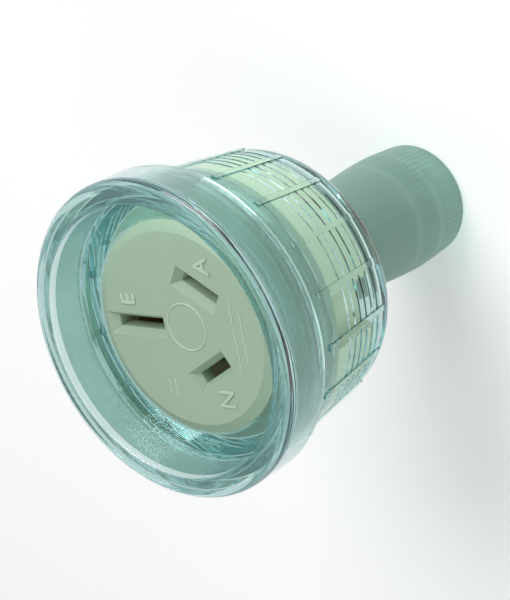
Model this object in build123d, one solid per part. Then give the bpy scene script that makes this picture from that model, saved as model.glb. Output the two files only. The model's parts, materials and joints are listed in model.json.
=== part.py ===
from build123d import *
import math
import os

# Clear three-slot line socket, millimetres, +Z up.
# It stands on the cable end of its nut: Z = 0 is that end, and the socket face looks up.

# Overall
overall_length = 71.5
seat_clearance = 0.1
running_clearance = 0.2
cut_overrun = 1.0
edge_match = 0.01

# Front shroud, a coupling ring of U-shaped section with a thick inner ledge
shroud_diameter = 52.8
shroud_length = 8.4
rim_width = 3.9
shroud_skirt_wall = 1.4
shroud_sleeve_wall = 0.8
shroud_web = 1.6
shroud_edge_radius = 1.5
shroud_rear_edge_radius = 0.4
mouth_edge_radius = 0.4
recess_depth = 7.1
ledge_thickness = 7.0
ledge_tube_inset = 0.3

# Rear housing
housing_inset = 0.1
housing_wall = 1.3
housing_rear_wall = 2.8
wiring_room = 3.4
carrier_seat_width = 1.5
shoulder_radius = 5.3
cavity_corner_radius = 1.5
neck_diameter = 15.2
neck_bore_diameter = 11.2
groove_count = 6
groove_pitch = 1.75
groove_width = 0.55
groove_floor_width = 0.25
groove_depth = 0.22
groove_start_below_face = 11.9
grip_rib_count = 18
grip_rib_width = 1.0
grip_rib_height = 0.3
grip_rib_root = 1.0
grip_rib_start_below_face = 5.6
grip_rib_first_angle = 2.0

# Socket face
boss_diameter = 35.8
boss_wall = 1.2
boss_clearance = 0.4
boss_bevel_width = 1.7
boss_bevel_height = 0.9
boss_above_ledge = 0.8
face_plate_thickness = 3.7
flange_step = 2.4
flange_thickness = 2.5

# Slots and the pins that they take
line_pin_radius = 7.92
earth_pin_radius = 10.31
slot_pattern_offset = 0.3
line_slot_length = 7.1
earth_slot_length = 9.6
slot_width = 1.9
line_funnel_length = 9.1
earth_funnel_length = 12.6
funnel_width = 3.8
funnel_depth = 1.4
line_pin_depth = 17.1
earth_pin_depth = 20.1

# Contact carrier
carrier_depth = 10.8
carrier_wall = 1.7
carrier_plate_thickness = 3.0
chamber_wall = 0.8
chamber_end_margin = 0.6
chamber_leaf_room = 3.8
pocket_width = 8.0
pocket_lead_angle = 4.0
pocket_depth = 3.8
pocket_wall = 1.0
barrier_thickness = 1.6
barrier_clearance = 0.8

# Contacts, cut and bent from strip
leaf_thickness = 0.7
leaf_pinch_gap = 1.2
leaf_mouth_gap = 2.2
leaf_heel_gap = 2.0
leaf_width_margin = 0.5
leaf_top_gap = 1.1
tail_width = 4.4

# Terminal blocks and small fasteners
block_width = 7.6
block_clearance = 0.4
block_height = 5.4
block_standoff = 0.5
block_chamfer = 0.5
wire_hole_diameter = 3.4
wire_hole_margin = 0.7
terminal_screw_diameter = 3.5
terminal_screw_head_diameter = 5.2
terminal_screw_head_height = 1.8
terminal_screw_length = 4.6
terminal_screw_backoff = 1.0
screw_slot_width = 0.8
screw_slot_depth = 0.7
rivet_diameter = 2.0
rivet_head_diameter = 3.4
rivet_head_height = 0.6
rivet_length = 4.0
rivet_end_margin = 1.6
insert_screw_diameter = 2.9
insert_screw_head_diameter = 5.4
insert_screw_head_height = 1.8
insert_screw_length = 8.0
insert_screw_clearance = 1.1
insert_boss_diameter = 5.4

# Cord grip
nut_diameter = 21.9
nut_bulge_height = 9.5
nut_bulge_rounding = 60.0
nut_end_diameter = 20.6
nut_front_wall = 0.9
nut_gap = 0.8
nut_rear_edge_radius = 1.0
nut_front_edge_radius = 2.4
nut_front_land = 0.3
cord_bore_diameter = 10.4
cord_bore_length = 2.6
nut_chamber_start = 8.0
neck_end_height = 14.3
collet_bore_diameter = 10.6
collet_flange_thickness = 1.3
collet_tip_height = 4.4
collet_finger_wall = 1.3
collet_slot_land = 1.0
collet_slot_width = 1.2
collet_slot_count = 6
grommet_length = 7.0
grommet_wall = 1.6
grommet_bore_diameter = 9.8

# Heights worked out from the above
shroud_front = overall_length
shroud_rear = shroud_front - shroud_length
ledge_front = shroud_front - recess_depth
ledge_back = ledge_front - ledge_thickness
face_top = ledge_front + boss_above_ledge
face_ceiling = face_top - face_plate_thickness
flange_top = ledge_back - seat_clearance
carrier_top = flange_top - flange_thickness
plate_under = carrier_top - carrier_plate_thickness
carrier_end = carrier_top - carrier_depth
carrier_seat = carrier_end - seat_clearance
cavity_floor = carrier_end - wiring_room
housing_rear = cavity_floor - housing_rear_wall
nut_front = housing_rear - nut_gap
tail_top = plate_under - rivet_head_height - running_clearance
block_top = tail_top - leaf_thickness
block_under = block_top - block_height
wire_hole_height = block_under + block_height / 2
leaf_top = face_ceiling - leaf_top_gap

# Radii of the insert, worked out from the boss outwards
boss_radius = boss_diameter / 2
cup_radius = boss_radius - boss_wall
tower_radius = cup_radius - running_clearance
ledge_opening_radius = boss_radius + boss_clearance
flange_radius = boss_radius + flange_step

# Radii of the coupling, worked out from the shroud inwards
shroud_radius = shroud_diameter / 2
mouth_radius = shroud_radius - rim_width
ledge_tube_radius = mouth_radius - ledge_tube_inset
sleeve_outer_radius = mouth_radius + shroud_sleeve_wall
skirt_inner_radius = shroud_radius - shroud_skirt_wall
tube_outer_radius = skirt_inner_radius - running_clearance
tube_inner_radius = sleeve_outer_radius + running_clearance
ledge_bore_radius = ledge_tube_radius + running_clearance

# Radii and lengths of what the housing holds
carrier_radius = flange_radius - running_clearance
carrier_bore_radius = carrier_radius - carrier_wall
cavity_radius = flange_radius + running_clearance
housing_front_radius = tube_outer_radius - housing_inset
housing_rear_radius = cavity_radius + housing_wall
block_reach = carrier_bore_radius - slot_pattern_offset - block_clearance
block_near_side = leaf_heel_gap / 2 + leaf_thickness + block_standoff
block_length = math.sqrt(block_reach**2 - (block_width / 2) ** 2) - line_pin_radius - block_near_side
pocket_floor_radius = carrier_radius - pocket_depth
insert_screw_head_radius = insert_screw_head_diameter / 2
insert_screw_reach = pocket_floor_radius - pocket_wall - insert_screw_clearance
insert_screw_radius = insert_screw_reach - insert_screw_head_radius
barrier_reach = insert_screw_radius - insert_screw_head_radius - barrier_clearance

# Radii of the cord grip
nut_radius = nut_diameter / 2
nut_end_radius = nut_end_diameter / 2
nut_chamber_radius = neck_diameter / 2 + running_clearance
nut_front_radius = nut_chamber_radius + nut_front_wall
collet_bore_radius = collet_bore_diameter / 2
collet_finger_radius = collet_bore_radius + collet_finger_wall
grommet_radius = grommet_bore_diameter / 2 + grommet_wall

# Each pole: angle of its pin on the face, radius of its pin, slot and funnel lengths, and pin depth
POLES = {
    "active": (150.0, line_pin_radius, line_slot_length, line_funnel_length, line_pin_depth),
    "neutral": (30.0, line_pin_radius, line_slot_length, line_funnel_length, line_pin_depth),
    "earth": (270.0, earth_pin_radius, earth_slot_length, earth_funnel_length, earth_pin_depth),
}
# The insert screws stand between the poles
INSERT_SCREWS = {"insert_screw_upper": 90.0, "insert_screw_lower": 210.0}
BARRIER_ANGLES = (90.0, 210.0, 330.0)


def turned(*outline):
    """Solid of revolution about the Z axis, from (radius, height) points."""
    return revolve(Plane.XZ * make_face(Polyline(*outline, close=True)), Axis.Z)


def cylinder(radius, low, high, x=0.0, y=0.0):
    """Upright cylinder between two heights."""
    return Pos(x, y, (low + high) / 2) * Cylinder(radius, high - low)


def block(x_range, y_range, z_range):
    """Box between two corners, given as ranges."""
    spans = [high - low for low, high in (x_range, y_range, z_range)]
    middle = [(low + high) / 2 for low, high in (x_range, y_range, z_range)]
    return Pos(*middle) * Box(*spans)


def rounded_rim(solid, radius, height, size):
    """Round the circular edge of the given radius at the given height."""
    rims = [
        edge
        for edge in solid.edges().filter_by(GeomType.CIRCLE)
        if abs(edge.radius - radius) < edge_match and abs(edge.arc_center.Z - height) < edge_match
    ]
    return fillet(rims, size)


def polar(angle, radius):
    """X and Y of a point at an angle in degrees and a radius."""
    return radius * math.cos(math.radians(angle)), radius * math.sin(math.radians(angle))


def pole_frame(pole):
    """Placement of a pole's own axes: local X across the pin, local Y along its width.

    Local X of the line poles points outwards, and local X of the earth pole points to its terminal."""
    angle, radius = POLES[pole][:2]
    x, y = polar(angle, radius)
    turn = 0.0 if pole == "earth" else angle
    return Pos(x, y + slot_pattern_offset, 0) * Rot(0, 0, turn)


def make_front_shroud():
    """Coupling ring: outer skirt, front web, inner sleeve and the thick ledge round the face's boss."""
    ring = turned(
        (ledge_opening_radius, ledge_back),
        (ledge_tube_radius, ledge_back),
        (ledge_tube_radius, ledge_front - shroud_web),
        (sleeve_outer_radius, ledge_front - shroud_web),
        (sleeve_outer_radius, shroud_front - shroud_web),
        (skirt_inner_radius, shroud_front - shroud_web),
        (skirt_inner_radius, shroud_rear),
        (shroud_radius, shroud_rear),
        (shroud_radius, shroud_front),
        (mouth_radius, shroud_front),
        (mouth_radius, ledge_front),
        (ledge_opening_radius, ledge_front),
    )
    ring = rounded_rim(ring, shroud_radius, shroud_front, shroud_edge_radius)
    ring = rounded_rim(ring, mouth_radius, shroud_front, mouth_edge_radius)
    return rounded_rim(ring, shroud_radius, shroud_rear, shroud_rear_edge_radius)


def housing_radius(height):
    """Outer radius of the housing's tapered wall at a height."""
    share = (shroud_rear - height) / (shroud_rear - housing_rear)
    return housing_front_radius + (housing_rear_radius - housing_front_radius) * share


def make_rear_housing():
    """Body with the stepped bore for the ledge and the insert, grooved and ribbed grip, and the neck."""
    tube_top = shroud_front - shroud_web - running_clearance
    body = turned(
        (0, cavity_floor),
        (0, housing_rear),
        (housing_rear_radius, housing_rear),
        (housing_front_radius, shroud_rear),
        (tube_outer_radius, shroud_rear),
        (tube_outer_radius, tube_top),
        (tube_inner_radius, tube_top),
        (tube_inner_radius, ledge_front - shroud_web - running_clearance),
        (ledge_bore_radius, ledge_front - shroud_web - running_clearance),
        (ledge_bore_radius, ledge_back),
        (cavity_radius, ledge_back),
        (cavity_radius, carrier_seat),
        (cavity_radius - carrier_seat_width, carrier_seat),
        (cavity_radius - carrier_seat_width, cavity_floor),
    )
    body = rounded_rim(body, housing_rear_radius, housing_rear, shoulder_radius)
    body = rounded_rim(body, cavity_radius - carrier_seat_width, cavity_floor, cavity_corner_radius)
    for index in range(groove_count):
        body -= groove_cut(face_top - groove_start_below_face - index * groove_pitch)
    for index in range(grip_rib_count):
        body += Rot(0, 0, grip_rib_first_angle + index * 360 / grip_rib_count) * grip_rib()
    body += cylinder(neck_diameter / 2, neck_end_height, housing_rear)
    body -= cylinder(neck_bore_diameter / 2, neck_end_height, cavity_floor)
    grommet_seat = neck_end_height + seat_clearance + grommet_length + running_clearance
    body -= cylinder(grommet_radius + seat_clearance, neck_end_height, grommet_seat)
    return body


def groove_cut(height):
    """Flat-bottomed groove round the housing, centred at a height.

    The cut stands as far out of the wall as its floor lies inside, so it is twice as splayed there."""
    floor = housing_radius(height) - groove_depth
    top = housing_radius(height) + groove_depth
    half_floor = groove_floor_width / 2
    half_top = groove_width - half_floor
    return turned(
        (floor, height - half_floor),
        (floor, height + half_floor),
        (top, height + half_top),
        (top, height - half_top),
    )


def grip_rib():
    """One axial rib that follows the taper and bridges the grooves."""
    top = face_top - grip_rib_start_below_face
    bottom = face_top - groove_start_below_face - groove_count * groove_pitch
    outline = Polyline(
        (housing_radius(top) - grip_rib_root, top),
        (housing_radius(top) + grip_rib_height, top),
        (housing_radius(bottom) + grip_rib_height, bottom),
        (housing_radius(bottom) - grip_rib_root, bottom),
        close=True,
    )
    return extrude(Plane.XZ * make_face(outline), grip_rib_width / 2, both=True)


def make_socket_face():
    """Top-hat cup: bevelled boss with three funnel slots, and the flange that the ledge holds down."""
    cup = turned(
        (0, face_top),
        (boss_radius - boss_bevel_width, face_top),
        (boss_radius, face_top - boss_bevel_height),
        (boss_radius, flange_top),
        (flange_radius, flange_top),
        (flange_radius, carrier_top),
        (cup_radius, carrier_top),
        (cup_radius, face_ceiling),
        (0, face_ceiling),
    )
    for angle in INSERT_SCREWS.values():
        x, y = polar(angle, insert_screw_radius)
        cup += cylinder(insert_boss_diameter / 2, carrier_top, face_ceiling, x, y)
        cup -= cylinder(insert_screw_diameter / 2 + seat_clearance / 2, carrier_top, face_ceiling, x, y)
    for pole in POLES:
        cup -= pole_frame(pole) * slot_cut(pole)
    return cup


def slot_cut(pole):
    """Funnel and straight slot, in the pole's own axes."""
    slot_length, funnel_length = POLES[pole][2:4]
    throat = face_top - funnel_depth
    funnel = loft(
        [
            Plane.XY.offset(face_top) * Rectangle(funnel_width, funnel_length),
            Plane.XY.offset(throat) * Rectangle(slot_width, slot_length),
        ]
    )
    half_width, half_length = slot_width / 2, slot_length / 2
    slot_heights = (face_ceiling - cut_overrun, throat)
    slot = block((-half_width, half_width), (-half_length, half_length), slot_heights)
    return funnel + slot


def make_contact_carrier():
    """Plate with a pocketed skirt below it and a contact chamber for each pole above it."""
    carrier = turned(
        (0, carrier_top),
        (carrier_radius, carrier_top),
        (carrier_radius, carrier_end),
        (carrier_bore_radius, carrier_end),
        (carrier_bore_radius, plate_under),
        (0, plate_under),
    )
    half = pocket_width / 2
    liner_depth = (pocket_floor_radius - pocket_wall, carrier_bore_radius)
    pocket_reach = (pocket_floor_radius, carrier_radius + cut_overrun)
    pocket_heights = (carrier_end - cut_overrun, carrier_top + cut_overrun)
    liner = block(liner_depth, (-half - pocket_wall, half + pocket_wall), (carrier_end, plate_under))
    pocket = block(pocket_reach, (-half, half), pocket_heights)
    barrier_width = (-barrier_thickness / 2, barrier_thickness / 2)
    barrier = block((0, barrier_reach), barrier_width, (block_under, plate_under))
    for angle in BARRIER_ANGLES:
        carrier += Rot(0, 0, angle - pocket_lead_angle) * liner
        carrier -= Rot(0, 0, angle - pocket_lead_angle) * pocket
        carrier += Rot(0, 0, angle) * barrier
    half_room = chamber_leaf_room / 2
    half_tower = half_room + chamber_wall
    tower_top = face_ceiling - running_clearance
    room_heights = (plate_under - cut_overrun, tower_top + cut_overrun)
    for pole in POLES:
        half_length = POLES[pole][2] / 2 + chamber_end_margin
        outer_y = half_length + chamber_wall
        tower = block((-half_tower, half_tower), (-outer_y, outer_y), (carrier_top, tower_top))
        room = block((-half_room, half_room), (-half_length, half_length), room_heights)
        carrier += pole_frame(pole) * tower
        carrier -= pole_frame(pole) * room
    carrier -= tower_trim(tower_top)
    for angle in INSERT_SCREWS.values():
        x, y = polar(angle, insert_screw_radius)
        carrier -= cylinder(insert_screw_diameter / 2 + running_clearance, plate_under, carrier_top, x, y)
    return carrier


def tower_trim(tower_top):
    """Ring outside the face's round bore, which the contact chambers stay clear of."""
    outside = carrier_radius + cut_overrun
    return turned(
        (tower_radius, carrier_top),
        (outside, carrier_top),
        (outside, tower_top + cut_overrun),
        (tower_radius, tower_top + cut_overrun),
    )


def make_contact(pole):
    """Spring clip: two bowed leaves, a web that joins them and a tail over the terminal block."""
    slot_length = POLES[pole][2]
    half_width = slot_length / 2 - leaf_width_margin
    heel = face_top - POLES[pole][4] - running_clearance
    pinch_height = (plate_under + leaf_top) / 2
    inner_line = [
        (leaf_heel_gap / 2, heel),
        (leaf_heel_gap / 2, plate_under),
        (leaf_pinch_gap / 2, pinch_height),
        (leaf_mouth_gap / 2, leaf_top),
    ]
    outer_line = [(x + leaf_thickness, z) for x, z in reversed(inner_line)]
    leaf_outline = Polyline(*inner_line, *outer_line, close=True)
    leaf = extrude(Plane.XZ * make_face(leaf_outline), half_width, both=True)
    reach = leaf_heel_gap / 2 + leaf_thickness
    web = block((-reach, reach), (-half_width, -half_width + leaf_thickness), (heel, tail_top))
    tail_reach = (reach - leaf_thickness, block_near_side + block_length)
    tail = block(tail_reach, (-tail_width / 2, tail_width / 2), (block_top, tail_top))
    tail -= cylinder(rivet_diameter / 2, block_top - cut_overrun, tail_top + cut_overrun, rivet_x())
    return pole_frame(pole) * (leaf + mirror(leaf, Plane.YZ) + web + tail)


def rivet_x():
    """Centre of a pole's rivet, near the far end of the block."""
    return block_near_side + block_length - rivet_end_margin


def screw_x():
    """Centre of a pole's terminal screw and wire hole."""
    return block_near_side + wire_hole_diameter / 2 + wire_hole_margin


def make_terminal(pole):
    """Tunnel block with a cross hole for the wire and a screw hole from below."""
    x_range = (block_near_side, block_near_side + block_length)
    half = block_width / 2
    body = block(x_range, (-half, half), (block_under, block_top))
    body = chamfer(body.edges().filter_by(Axis.Z), block_chamfer)
    wire_hole = Pos(screw_x(), 0, wire_hole_height) * Rot(90, 0, 0)
    body -= wire_hole * Cylinder(wire_hole_diameter / 2, block_width + cut_overrun)
    hole_radius = terminal_screw_diameter / 2 + seat_clearance / 2
    body -= cylinder(hole_radius, block_under, wire_hole_height, screw_x())
    body -= cylinder(rivet_diameter / 2, tail_top - rivet_length, block_top, rivet_x())
    return pole_frame(pole) * body


def slotted_head(diameter, low, high, x=0.0, y=0.0):
    """Round screw head, driven from below, with a straight slot."""
    head = cylinder(diameter / 2, low, high, x, y)
    half = screw_slot_width / 2
    return head - block((x - diameter, x + diameter), (y - half, y + half), (low, low + screw_slot_depth))


def make_terminal_screw(pole):
    """Cheese-head screw, backed off to leave the wire hole open."""
    tip = wire_hole_height - terminal_screw_backoff
    head_under = tip - terminal_screw_length
    head_top = head_under + terminal_screw_head_height
    head = slotted_head(terminal_screw_head_diameter, head_under, head_top, screw_x())
    shank = cylinder(terminal_screw_diameter / 2, head_top, tip, screw_x())
    return pole_frame(pole) * (head + shank)


def make_rivet(pole):
    """Rivet through the contact's tail into the block."""
    head = cylinder(rivet_head_diameter / 2, tail_top, tail_top + rivet_head_height, rivet_x())
    shank = cylinder(rivet_diameter / 2, tail_top - rivet_length, tail_top, rivet_x())
    return pole_frame(pole) * (head + shank)


def make_insert_screw(angle):
    """Screw from below the carrier plate into a boss of the face."""
    x, y = polar(angle, insert_screw_radius)
    head_under = plate_under - insert_screw_head_height
    head = slotted_head(insert_screw_head_diameter, head_under, plate_under, x, y)
    return head + cylinder(insert_screw_diameter / 2, plate_under, plate_under + insert_screw_length, x, y)


def make_cord_grommet():
    """Soft ring in the mouth of the neck."""
    bottom = neck_end_height + seat_clearance
    ring = cylinder(grommet_radius, bottom, bottom + grommet_length)
    return ring - cylinder(grommet_bore_diameter / 2, bottom, bottom + grommet_length)


def nut_cone_radius(height):
    """Radius of the nut's inner cone at a height."""
    wide, narrow = neck_diameter / 2, cord_bore_diameter / 2
    share = (height - cord_bore_length) / (nut_chamber_start - cord_bore_length)
    return narrow + (wide - narrow) * share


def make_cord_grip_collet():
    """Flanged sleeve with slotted fingers that the nut's cone closes on the cord."""
    collar_radius = neck_diameter / 2 - running_clearance
    collar_top = neck_end_height - seat_clearance
    collar_under = collar_top - collet_flange_thickness
    sleeve = turned(
        (collet_bore_radius, collar_top),
        (collar_radius, collar_top),
        (collar_radius, collar_under),
        (collet_finger_radius, collar_under),
        (collet_finger_radius, nut_chamber_start),
        (nut_cone_radius(collet_tip_height) - running_clearance, collet_tip_height),
        (collet_bore_radius, collet_tip_height),
    )
    half = collet_slot_width / 2
    slot = block((-neck_diameter, neck_diameter), (-half, half), (0, collar_under - collet_slot_land))
    for index in range(collet_slot_count // 2):
        sleeve -= Rot(0, 0, index * 360 / collet_slot_count) * slot
    return sleeve


def make_cord_grip_nut():
    """Bell-shaped nut, widest near the cord, with a cone inside and the cord bore at its end."""
    nut = turned(
        (nut_end_radius, 0),
        (nut_radius, nut_bulge_height),
        (nut_front_radius, nut_front),
        (nut_chamber_radius, nut_front),
        (nut_chamber_radius, nut_chamber_start),
        (neck_diameter / 2, nut_chamber_start),
        (cord_bore_diameter / 2, cord_bore_length),
        (cord_bore_diameter / 2, 0),
    )
    nut = rounded_rim(nut, nut_radius, nut_bulge_height, nut_bulge_rounding)
    nut = rounded_rim(nut, nut_end_radius, 0, nut_rear_edge_radius)
    front_round = min(nut_front_edge_radius, nut_front_wall - nut_front_land)
    return rounded_rim(nut, nut_front_radius, nut_front, front_round)


def all_parts():
    """Every piece by node name."""
    parts = {
        "front_shroud": make_front_shroud(),
        "rear_housing": make_rear_housing(),
        "socket_face": make_socket_face(),
        "contact_carrier": make_contact_carrier(),
        "cord_grip_nut": make_cord_grip_nut(),
        "cord_grip_collet": make_cord_grip_collet(),
        "cord_grommet": make_cord_grommet(),
    }
    for pole in POLES:
        parts[f"{pole}_contact"] = make_contact(pole)
        parts[f"{pole}_terminal"] = make_terminal(pole)
        parts[f"{pole}_terminal_screw"] = make_terminal_screw(pole)
        parts[f"{pole}_rivet"] = make_rivet(pole)
    for name, angle in INSERT_SCREWS.items():
        parts[name] = make_insert_screw(angle)
    return parts


os.makedirs("parts", exist_ok=True)
for node, shape in all_parts().items():
    export_step(shape, f"parts/{node}.step")
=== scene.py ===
import json
import math

import bpy
from mathutils import Matrix, Vector

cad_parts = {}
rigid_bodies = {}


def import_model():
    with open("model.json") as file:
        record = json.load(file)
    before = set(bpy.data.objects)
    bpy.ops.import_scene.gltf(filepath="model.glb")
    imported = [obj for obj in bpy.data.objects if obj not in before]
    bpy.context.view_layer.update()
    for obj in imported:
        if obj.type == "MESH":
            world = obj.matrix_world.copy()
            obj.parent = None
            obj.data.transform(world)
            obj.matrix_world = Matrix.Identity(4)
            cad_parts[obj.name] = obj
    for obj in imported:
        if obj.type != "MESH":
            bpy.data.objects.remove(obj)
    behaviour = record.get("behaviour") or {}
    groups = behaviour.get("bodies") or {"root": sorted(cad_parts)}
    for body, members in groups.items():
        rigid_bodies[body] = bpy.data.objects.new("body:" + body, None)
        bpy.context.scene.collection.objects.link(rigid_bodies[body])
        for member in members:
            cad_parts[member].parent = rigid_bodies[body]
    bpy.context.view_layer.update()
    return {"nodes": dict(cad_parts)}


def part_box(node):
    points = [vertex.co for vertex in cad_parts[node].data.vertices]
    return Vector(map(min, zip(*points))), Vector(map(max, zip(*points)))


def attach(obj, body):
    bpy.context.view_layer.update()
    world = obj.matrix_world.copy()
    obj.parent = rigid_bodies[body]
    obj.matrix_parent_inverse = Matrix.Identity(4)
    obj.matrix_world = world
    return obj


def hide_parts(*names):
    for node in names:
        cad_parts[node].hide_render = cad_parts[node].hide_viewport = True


# Looks of the clear three-slot line socket, in metres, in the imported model's frame:
# +Z up, the socket stands on its nut and the face looks up.

bpy.data.batch_remove(bpy.data.objects[:])
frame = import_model()
scene = bpy.context.scene
MM = 0.001

# Heights taken from the frame
face_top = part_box("socket_face")[1][2]
neck_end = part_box("rear_housing")[0][2]

# Camera, placed by a fit to the slots and rings that the photograph shows
CAMERA_PLACE = Vector((-0.08901, 0.18953, 0.25255))
CAMERA_RIGHT = Vector((0.18207, 0.76083, -0.62289))
CAMERA_UP = Vector((-0.93345, -0.06538, -0.35270))
CAMERA_LENS = 108.0
CAMERA_SENSOR = 36.0
CAMERA_CLIP = 0.01

# Studio
FLOOR_SIZE = 6.0
FLOOR_DROP = 0.05 * MM
FLOOR_COLOUR = (0.98, 0.98, 0.98)
FLOOR_ROUGHNESS = 0.9
FLOOR_GLOSS = 0.1
FLOOR_LIFT = 0.17
WORLD_COLOUR = (0.82, 0.84, 0.83)
WORLD_STRENGTH = 0.45
WHITE = (1, 1, 1, 1)

# Lamps: place and side in metres, and power in watts. They look at the target, a point in the housing.
LAMPS = {
    "key_lamp": ((-0.55, -0.05, 0.55), 0.45, 3.8),
    "fill_lamp": ((0.35, 0.6, 0.5), 0.5, 1.3),
}
TARGET = Vector((0.0, 0.0, 0.045))

# Light paths. The clear walls lie one behind another, and paths that end early show there as black rings.
CLEAR_BOUNCES = 24
SHADOW_BOUNCES = 16

# Raised marks on the face: places as the face is seen, in millimetres from its centre.
# They are read with the earth slot at the top, so they stand half a turn round.
LETTERS = {"A": (-10.9, 6.7), "N": (11.1, 6.9), "E": (-4.4, -10.4)}
LETTER_SIZE = 4.3
LETTER_RELIEF = 0.2
LETTER_EDGE = 0.05
LETTER_EDGE_STEPS = 2
MARK_RING_CENTRE = (-0.5, 1.0)
MARK_RING_RADIUS = 3.9
MARK_RING_STEP = 4
LINE_RELIEF = 0.16
LINE_STEPS = 3
DASHES = (
    ((-5.4, 10.8), (-1.9, 10.8)),
    ((-0.8, 10.8), (5.8, 10.8)),
    ((-4.0, 12.5), (4.4, 12.5)),
    ((8.4, -3.9), (11.9, -3.9)),
    ((8.6, -5.1), (11.2, -5.1)),
)

# Noise: scale per metre, detail and roughness
SCUFFS = (900.0, 6.0, 0.7)
WAVES = (160.0, 2.0, 0.5)
MOTTLE = (140.0, 3.0, 0.5)
GRAIN = (5200.0, 2.0, 0.5)
TARNISH = (420.0, 4.0, 0.5)
SCRATCHES = (2600.0, 4.0, 0.5)

# Surface roughness, from the smoothest spots to the roughest
POLISHED = (0.0, 0.05)
FROSTED = (0.36, 0.42)
SATIN = (0.38, 0.52)
ROLLED = (0.25, 0.45)
TURNED = (0.2, 0.4)

# Relief of the surfaces: strength and depth
WAVINESS = 0.05
RIBBED_RELIEF = 0.25
CLEAR_RELIEF_DEPTH = 0.2 * MM
GRAIN_STRENGTH = 0.25
GRAIN_DEPTH = 0.03 * MM

# Clear plastics. TEAL is the tint that deepens with the way through the plastic.
CLEAR_IOR = 1.53
TEAL = (0.0, 0.50, 0.53)
LIT_THROUGH = (1.0, 1.0, 1.0)
AIR_FILM = 0.05 * MM

# The frosted nut: faint ribs on its rear half, and painted pale rings, painted highlights for the inner
# steps, at the top of its cone and the neck's end
FINE_RIB_COUNT = 64
FINE_RIB_FADE = 10.0 * MM
FINE_RIB_TOP = 13.0 * MM
CONE_TOP = 8.0 * MM
PAINTED_RING_HIGHLIGHT_COLOUR = (0.62, 0.80, 0.72)
PAINTED_RING_HALF_WIDTH = 1.3 * MM
PAINTED_RING_STRENGTH = 0.28


def add_camera():
    """The photograph's view."""
    data = bpy.data.cameras.new("camera")
    data.lens = CAMERA_LENS
    data.sensor_width = CAMERA_SENSOR
    data.clip_start = CAMERA_CLIP
    camera = bpy.data.objects.new("camera", data)
    axes = Matrix((CAMERA_RIGHT, CAMERA_UP, CAMERA_RIGHT.cross(CAMERA_UP))).transposed()
    camera.matrix_world = Matrix.Translation(CAMERA_PLACE) @ axes.to_4x4()
    scene.collection.objects.link(camera)
    scene.camera = camera


def seen_rays(tree):
    """1 for rays of the camera, gloss and clear plastic, and 0 for rays that light a surface."""
    light_path = tree.nodes.new("ShaderNodeLightPath")
    share = light_path.outputs["Is Camera Ray"]
    for ray in ("Is Glossy Ray", "Is Transmission Ray"):
        either = tree.nodes.new("ShaderNodeMath")
        either.operation = "MAXIMUM"
        tree.links.new(share, either.inputs[0])
        tree.links.new(light_path.outputs[ray], either.inputs[1])
        share = either.outputs["Value"]
    return share


def add_world():
    """Even pale surroundings, which camera, gloss and clear plastic see as plain white."""
    world = bpy.data.worlds.new("studio")
    world.use_nodes = True
    nodes, links = world.node_tree.nodes, world.node_tree.links
    lighting = nodes["Background"]
    lighting.inputs["Color"].default_value = (*WORLD_COLOUR, 1)
    lighting.inputs["Strength"].default_value = WORLD_STRENGTH
    seen = nodes.new("ShaderNodeBackground")
    seen.inputs["Color"].default_value = WHITE
    mix = nodes.new("ShaderNodeMixShader")
    sources = (seen_rays(world.node_tree), lighting.outputs["Background"], seen.outputs["Background"])
    for index, source in enumerate(sources):
        links.new(source, mix.inputs[index])
    links.new(mix.outputs["Shader"], nodes["World Output"].inputs["Surface"])
    scene.world = world


def add_lamp(name, place, side, power):
    """Soft square lamp that looks at the socket."""
    data = bpy.data.lights.new(name, "AREA")
    data.size = side
    data.energy = power
    lamp = bpy.data.objects.new(name, data)
    lamp.location = place
    lamp.rotation_euler = (TARGET - Vector(place)).to_track_quat("-Z", "Y").to_euler()
    scene.collection.objects.link(lamp)


def add_floor():
    """Plain pale floor, just under the nut's end. It is lifted to near white and keeps the shadow."""
    mesh = bpy.data.meshes.new("floor")
    half = FLOOR_SIZE / 2
    corners = [(-half, -half), (half, -half), (half, half), (-half, half)]
    mesh.from_pydata([(x, y, -FLOOR_DROP) for x, y in corners], [], [(0, 1, 2, 3)])
    floor = bpy.data.objects.new("floor", mesh)
    material, shader, add = new_material("floor")
    shader.inputs["Base Color"].default_value = (*FLOOR_COLOUR, 1)
    shader.inputs["Roughness"].default_value = FLOOR_ROUGHNESS
    shader.inputs["Specular IOR Level"].default_value = FLOOR_GLOSS
    lift = add("ShaderNodeMath", {0: seen_rays(material.node_tree), 1: FLOOR_LIFT}, operation="MULTIPLY")
    shader.inputs["Emission Color"].default_value = WHITE
    join(material, lift.outputs["Value"], shader.inputs["Emission Strength"])
    mesh.materials.append(material)
    scene.collection.objects.link(floor)


def set_light_paths():
    """Bounces enough for light to pass every clear wall."""
    scene.cycles.max_bounces = CLEAR_BOUNCES
    scene.cycles.transmission_bounces = CLEAR_BOUNCES
    scene.cycles.glossy_bounces = CLEAR_BOUNCES
    scene.cycles.transparent_max_bounces = SHADOW_BOUNCES


def new_material(name):
    """A node material, its Principled shader and a function that adds nodes to it."""
    material = bpy.data.materials.new(name)
    material.use_nodes = True
    tree = material.node_tree

    def add(kind, inputs=(), **settings):
        node = tree.nodes.new(kind)
        for key, value in settings.items():
            setattr(node, key, value)
        for key, value in dict(inputs).items():
            if isinstance(value, bpy.types.NodeSocket):
                tree.links.new(value, node.inputs[key])
            else:
                node.inputs[key].default_value = value
        return node

    return material, tree.nodes["Principled BSDF"], add


def join(material, source, target):
    """Link two sockets."""
    material.node_tree.links.new(source, target)


def place_noise(add, scale, detail, roughness):
    """Noise that is fixed to the object, at a scale given per metre."""
    vector = add("ShaderNodeTexCoord").outputs["Object"]
    inputs = {"Vector": vector, "Scale": scale, "Detail": detail, "Roughness": roughness}
    return add("ShaderNodeTexNoise", inputs).outputs["Fac"]


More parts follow.
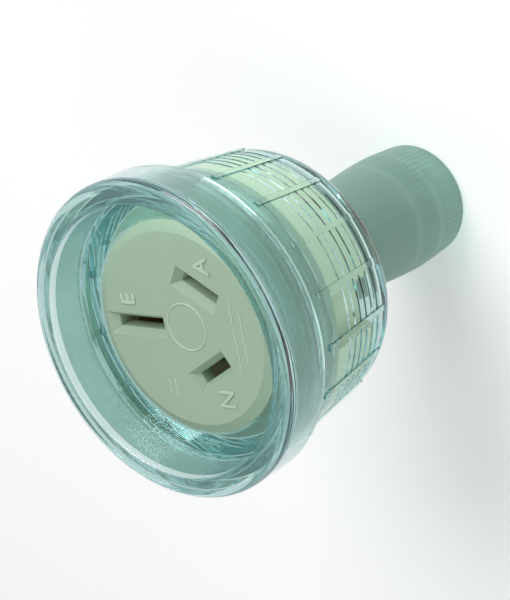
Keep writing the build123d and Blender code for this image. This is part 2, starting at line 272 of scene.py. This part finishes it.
def ranged(add, source, low, high):
    """A 0..1 value spread to a range."""
    node = add("ShaderNodeMapRange", {"Value": source, "To Min": low, "To Max": high})
    return node.outputs["Result"]


def add_bump(material, add, shader, height, strength, distance):
    """Small relief on a shader."""
    bump = add("ShaderNodeBump", {"Height": height, "Strength": strength, "Distance": distance})
    join(material, bump.outputs["Normal"], shader.inputs["Normal"])


def mottled(material, add, shader, source, colour, shade):
    """Base colour that varies between two tones."""
    mix = add("ShaderNodeMix", data_type="RGBA")
    join(material, source, mix.inputs["Factor"])
    mix.inputs["A"].default_value = (*colour, 1)
    mix.inputs["B"].default_value = (*shade, 1)
    join(material, mix.outputs["Result"], shader.inputs["Base Color"])


def object_place(add):
    """The three coordinates of a point on the object."""
    coordinates = add("ShaderNodeTexCoord")
    return add("ShaderNodeSeparateXYZ", {"Vector": coordinates.outputs["Object"]}).outputs


def painted_ring_highlight(material, add, shader, height):
    """Soft painted pale ring at a given height: a painted highlight that stands in for a step inside seen
    through the frosted wall.
    """
    off = add("ShaderNodeMath", {0: object_place(add)["Z"], 1: height}, operation="SUBTRACT")
    away = add("ShaderNodeMath", {0: off.outputs["Value"]}, operation="ABSOLUTE")
    band = {
        "Value": away.outputs["Value"],
        "From Max": PAINTED_RING_HALF_WIDTH,
        "To Min": PAINTED_RING_STRENGTH,
        "To Max": 0.0,
    }
    share = add("ShaderNodeMapRange", band, interpolation_type="SMOOTHSTEP").outputs["Result"]
    under = shader.inputs["Base Color"].links[0].from_socket
    mix = add("ShaderNodeMix", data_type="RGBA")
    join(material, share, mix.inputs["Factor"])
    join(material, under, mix.inputs["A"])
    mix.inputs["B"].default_value = (*PAINTED_RING_HIGHLIGHT_COLOUR, 1)
    join(material, mix.outputs["Result"], shader.inputs["Base Color"])


def fine_ribs(add, relief):
    """Faint axial ribs added to the relief of the nut's rear half."""
    place = object_place(add)
    turn = add("ShaderNodeMath", {0: place["Y"], 1: place["X"]}, operation="ARCTAN2")
    phase = add("ShaderNodeMath", {0: turn.outputs["Value"], 1: FINE_RIB_COUNT}, operation="MULTIPLY")
    ribs = add("ShaderNodeMath", {0: phase.outputs["Value"]}, operation="SINE")
    span = {
        "Value": place["Z"],
        "From Min": FINE_RIB_FADE,
        "From Max": FINE_RIB_TOP,
        "To Min": 1.0,
        "To Max": 0.0,
    }
    fade = add("ShaderNodeMapRange", span)
    kept = add("ShaderNodeMath", {0: ribs.outputs["Value"], 1: fade.outputs["Result"]}, operation="MULTIPLY")
    return add("ShaderNodeMath", {0: relief, 1: kept.outputs["Value"]}, operation="ADD").outputs["Value"]


def clear_plastic(name, tint, shade, density, roughness, let_through=LIT_THROUGH, clearness=1.0, painted_ring_heights=()):
    """Tinted clear plastic: slightly wavy and scuffed, with a tint that deepens along the light's path.

    Lamps shine through it, so that what it holds is lit. Given ring heights, it gets painted pale rings
    there, painted highlights for the steps inside, and it is ribbed as the nut is."""
    material, shader, add = new_material(name)
    shader.inputs["Transmission Weight"].default_value = clearness
    shader.inputs["IOR"].default_value = CLEAR_IOR
    scuffs = place_noise(add, *SCUFFS)
    mottled(material, add, shader, scuffs, tint, shade)
    join(material, ranged(add, scuffs, *roughness), shader.inputs["Roughness"])
    relief = place_noise(add, *WAVES)
    strength = WAVINESS
    for height in painted_ring_heights:
        painted_ring_highlight(material, add, shader, height)
    if painted_ring_heights:
        relief = fine_ribs(add, relief)
        strength = RIBBED_RELIEF
    add_bump(material, add, shader, relief, strength, CLEAR_RELIEF_DEPTH)
    volume = add("ShaderNodeVolumeAbsorption", {"Color": (*TEAL, 1), "Density": density})
    output = material.node_tree.nodes["Material Output"]
    join(material, volume.outputs["Volume"], output.inputs["Volume"])
    light_path = add("ShaderNodeLightPath")
    through = add("ShaderNodeBsdfTransparent", {"Color": (*let_through, 1)})
    parts = {0: light_path.outputs["Is Shadow Ray"], 1: shader.outputs["BSDF"], 2: through.outputs["BSDF"]}
    mix = add("ShaderNodeMixShader", parts)
    join(material, mix.outputs["Shader"], output.inputs["Surface"])
    return material


def moulding(name, colour, shade):
    """Opaque satin moulding with a faint mottle and a fine grain."""
    material, shader, add = new_material(name)
    mottled(material, add, shader, place_noise(add, *MOTTLE), colour, shade)
    grain = place_noise(add, *GRAIN)
    join(material, ranged(add, grain, *SATIN), shader.inputs["Roughness"])
    add_bump(material, add, shader, grain, GRAIN_STRENGTH, GRAIN_DEPTH)
    return material


def metal(name, colour, shade, roughness):
    """Drawn or rolled metal with tarnish."""
    material, shader, add = new_material(name)
    mottled(material, add, shader, place_noise(add, *TARNISH), colour, shade)
    shader.inputs["Metallic"].default_value = 1.0
    scratches = place_noise(add, *SCRATCHES)
    join(material, ranged(add, scratches, *roughness), shader.inputs["Roughness"])
    return material


def dress(node, material):
    """Give a carried-over CAD node its material."""
    for place in frame["nodes"][node].material_slots:
        place.material = material


def add_coupling_ring():
    """The coupling ring with its ledge a hair off the housing's step, as an air film leaves it.

    Clear solids that share a face lose the light that crosses it, and show black there."""
    mesh = frame["nodes"]["front_shroud"].data.copy()
    ledge_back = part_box("front_shroud")[0][2]
    for vertex in mesh.vertices:
        if abs(vertex.co.z - ledge_back) < AIR_FILM:
            vertex.co.z += AIR_FILM
    ring = bpy.data.objects.new("coupling_ring", mesh)
    scene.collection.objects.link(ring)
    for place in ring.material_slots:
        place.material = clear_shroud
    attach(ring, "root")
    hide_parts("front_shroud")


def add_mark(name, data):
    """A raised mark of the face, moulded with it, in a lighter cream that is a painted highlight."""
    data.materials.append(mark_cream_painted_highlight)
    mark = bpy.data.objects.new(name, data)
    scene.collection.objects.link(mark)
    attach(mark, "root")
    return mark


def add_letter(letter, place):
    """Raised terminal letter."""
    data = bpy.data.curves.new(f"letter_{letter}", "FONT")
    data.body = letter
    data.size = LETTER_SIZE * MM
    data.extrude = LETTER_RELIEF * MM
    data.bevel_depth = LETTER_EDGE * MM
    data.bevel_resolution = LETTER_EDGE_STEPS
    data.align_x = "CENTER"
    data.align_y = "CENTER"
    mark = add_mark(f"letter_{letter}", data)
    spot = Vector((place[0] * MM, place[1] * MM, face_top))
    mark.matrix_world = Matrix.Translation(spot) @ Matrix.Rotation(math.pi, 4, "Z")


def add_line(name, points, closed=False):
    """Raised round-backed line on the face, half sunk in it."""
    data = bpy.data.curves.new(name, "CURVE")
    data.dimensions = "3D"
    data.bevel_depth = LINE_RELIEF * MM
    data.bevel_resolution = LINE_STEPS
    data.use_fill_caps = True
    spline = data.splines.new("POLY")
    spline.points.add(len(points) - 1)
    for point, (x, y) in zip(spline.points, points):
        point.co = (x * MM, y * MM, face_top, 1)
    spline.use_cyclic_u = closed
    add_mark(name, data)


def add_marks():
    """Letters by the slots, a plain ring in the middle and plain dashes near the edge."""
    for letter, place in LETTERS.items():
        add_letter(letter, place)
    turns = [math.radians(angle) for angle in range(0, 360, MARK_RING_STEP)]
    x, y = MARK_RING_CENTRE
    ring = [(x + MARK_RING_RADIUS * math.cos(turn), y + MARK_RING_RADIUS * math.sin(turn)) for turn in turns]
    add_line("mark_ring", ring, closed=True)
    for index, ends in enumerate(DASHES):
        add_line(f"mark_dash_{index + 1}", ends)


scene.view_settings.view_transform = "Standard"
add_camera()
add_world()
add_floor()
for lamp_name, (place, side, power) in LAMPS.items():
    add_lamp(lamp_name, place, side, power)
set_light_paths()

clear_body = clear_plastic(
    "clear_body",
    tint=(0.76, 0.88, 0.85),
    shade=(0.70, 0.83, 0.80),
    density=30.0,
    roughness=POLISHED,
)
clear_shroud = clear_plastic(
    "clear_shroud",
    tint=(0.75, 0.85, 0.83),
    shade=(0.69, 0.80, 0.78),
    density=50.0,
    roughness=POLISHED,
)
frosted_nut = clear_plastic(
    "frosted_nut",
    tint=(0.34, 0.55, 0.455),
    shade=(0.31, 0.51, 0.425),
    density=30.0,
    roughness=FROSTED,
    let_through=(0.75, 0.82, 0.8),
    clearness=0.6,
    # Painted pale rings at these heights: painted highlights for the nut's inner steps.
    painted_ring_heights=(CONE_TOP, neck_end),
)
cream_face = moulding("cream_face", colour=(0.365, 0.485, 0.36), shade=(0.34, 0.46, 0.335))
# The marks' cream is lighter than the face's: a painted highlight on the raised marks.
mark_cream_painted_highlight = moulding("mark_cream_painted_highlight", colour=(0.50, 0.62, 0.49), shade=(0.47, 0.59, 0.46))
# The carrier's cream is far brighter than the face's: partly its own cream, partly painted light that makes
# up for the light the clear walls take.
cream_carrier = moulding("cream_carrier", colour=(0.76, 0.80, 0.58), shade=(0.71, 0.75, 0.54))
contact_brass = metal(
    "contact_brass",
    colour=(0.55, 0.42, 0.18),
    shade=(0.42, 0.30, 0.12),
    roughness=ROLLED,
)
terminal_brass = metal(
    "terminal_brass",
    colour=(0.52, 0.38, 0.16),
    shade=(0.40, 0.28, 0.10),
    roughness=TURNED,
)
plated_screw = metal(
    "plated_screw",
    colour=(0.62, 0.62, 0.58),
    shade=(0.5, 0.5, 0.46),
    roughness=TURNED,
)
grommet_rubber = moulding("grommet_rubber", colour=(0.05, 0.07, 0.07), shade=(0.035, 0.05, 0.05))

FINISHES = {
    "front_shroud": clear_shroud,
    "rear_housing": clear_body,
    "cord_grip_nut": frosted_nut,
    "cord_grip_collet": frosted_nut,
    "socket_face": cream_face,
    "contact_carrier": cream_carrier,
    "cord_grommet": grommet_rubber,
}
for name in frame["nodes"]:
    if name in FINISHES:
        dress(name, FINISHES[name])
    elif "screw" in name:
        dress(name, plated_screw)
    elif "terminal" in name:
        dress(name, terminal_brass)
    else:
        dress(name, contact_brass)

add_marks()
add_coupling_ring()
